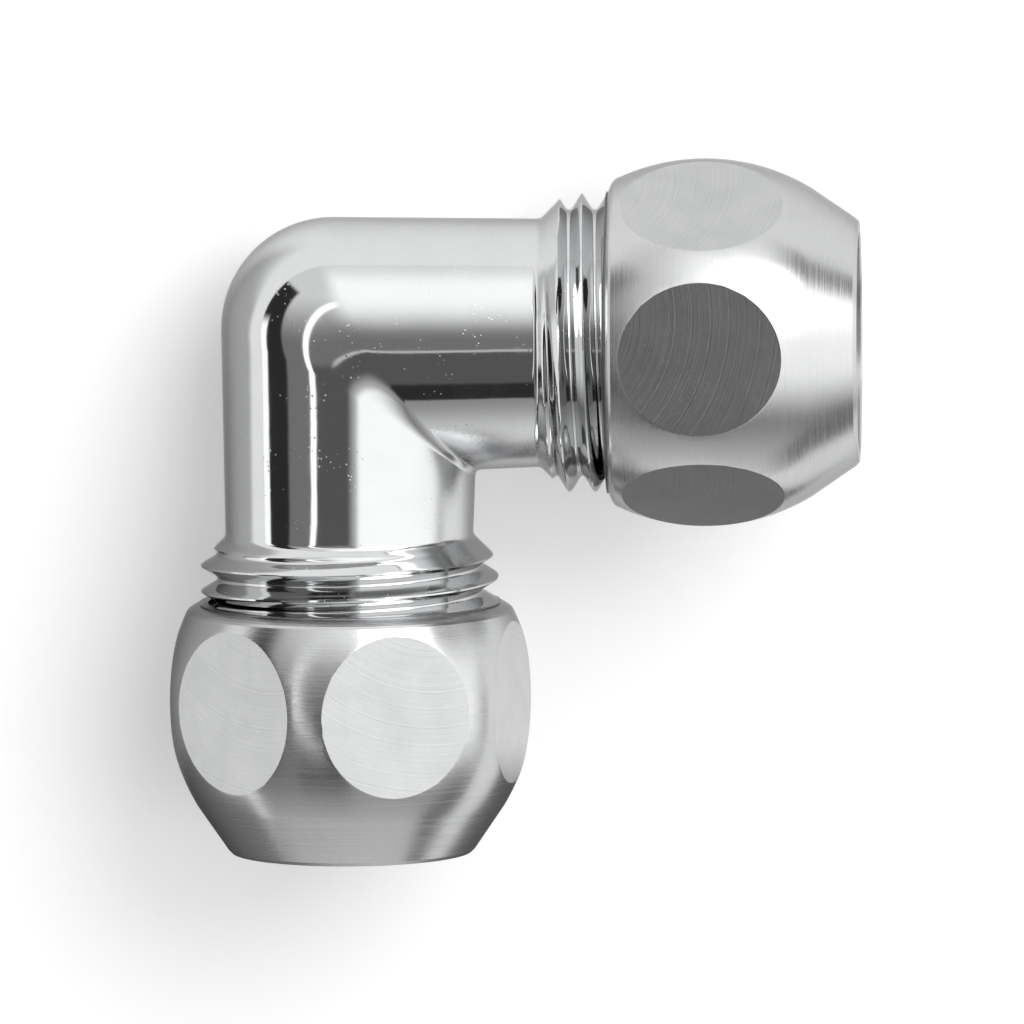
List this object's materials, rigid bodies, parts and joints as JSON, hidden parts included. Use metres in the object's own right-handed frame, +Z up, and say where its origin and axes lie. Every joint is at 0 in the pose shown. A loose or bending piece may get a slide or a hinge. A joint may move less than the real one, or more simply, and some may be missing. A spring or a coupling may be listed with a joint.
{
  "type": "elbow fitting",
  "caption": "Right-angled compression elbow fitting in chromed brass, with ball-shaped union nuts and compression rings that join two pipe ends.",
  "frame": {"origin": "where the axes of the two pipe sockets cross", "axes": "+Z up as the fitting lies at rest on both nuts and on its corner; the side pipe socket opens towards +X and the lower one towards -Y, and each rises 8 degrees"},
  "size_m": [0.0498, 0.0498, 0.0253],
  "materials": {
    "polished_chrome": "polished bright chrome plate on brass",
    "satin_chrome": "turned and milled, satin chrome plate on brass",
    "plain_brass": "bare turned brass"
  },
  "bodies": {
    "elbow": {"elbow_body": "polished_chrome"},
    "side_ring_body": {"side_ring": "plain_brass"},
    "side_nut_body": {"side_nut": "satin_chrome"},
    "lower_ring_body": {"lower_ring": "plain_brass"},
    "lower_nut_body": {"lower_nut": "satin_chrome"}
  },
  "joints": [
    {"name": "side_nut_travel", "type": "slide", "parent": "elbow", "child": "side_ring_body", "axis": [0.9895, 0.0107, 0.1442], "range_m": [0, 0.00726]},
    {"name": "side_nut_turn", "type": "hinge", "parent": "side_ring_body", "child": "side_nut_body", "pos_m": [0.02479, 0.00027, 0.00361], "axis": [0.9895, 0.0107, 0.1442], "range_deg": [0, 1440]},
    {"name": "lower_nut_travel", "type": "slide", "parent": "elbow", "child": "lower_ring_body", "axis": [-0.0107, -0.9891, 0.1466], "range_m": [0, 0.00726]},
    {"name": "lower_nut_turn", "type": "hinge", "parent": "lower_ring_body", "child": "lower_nut_body", "pos_m": [-0.00027, -0.02478, 0.00367], "axis": [-0.0107, -0.9891, 0.1466], "range_deg": [0, 1440]}
  ],
  "couplings": [
    {"joint": "side_nut_travel", "follows": "side_nut_turn", "m_per_rad": 0.00028875},
    {"joint": "lower_nut_travel", "follows": "lower_nut_turn", "m_per_rad": 0.00028875}
  ]
}
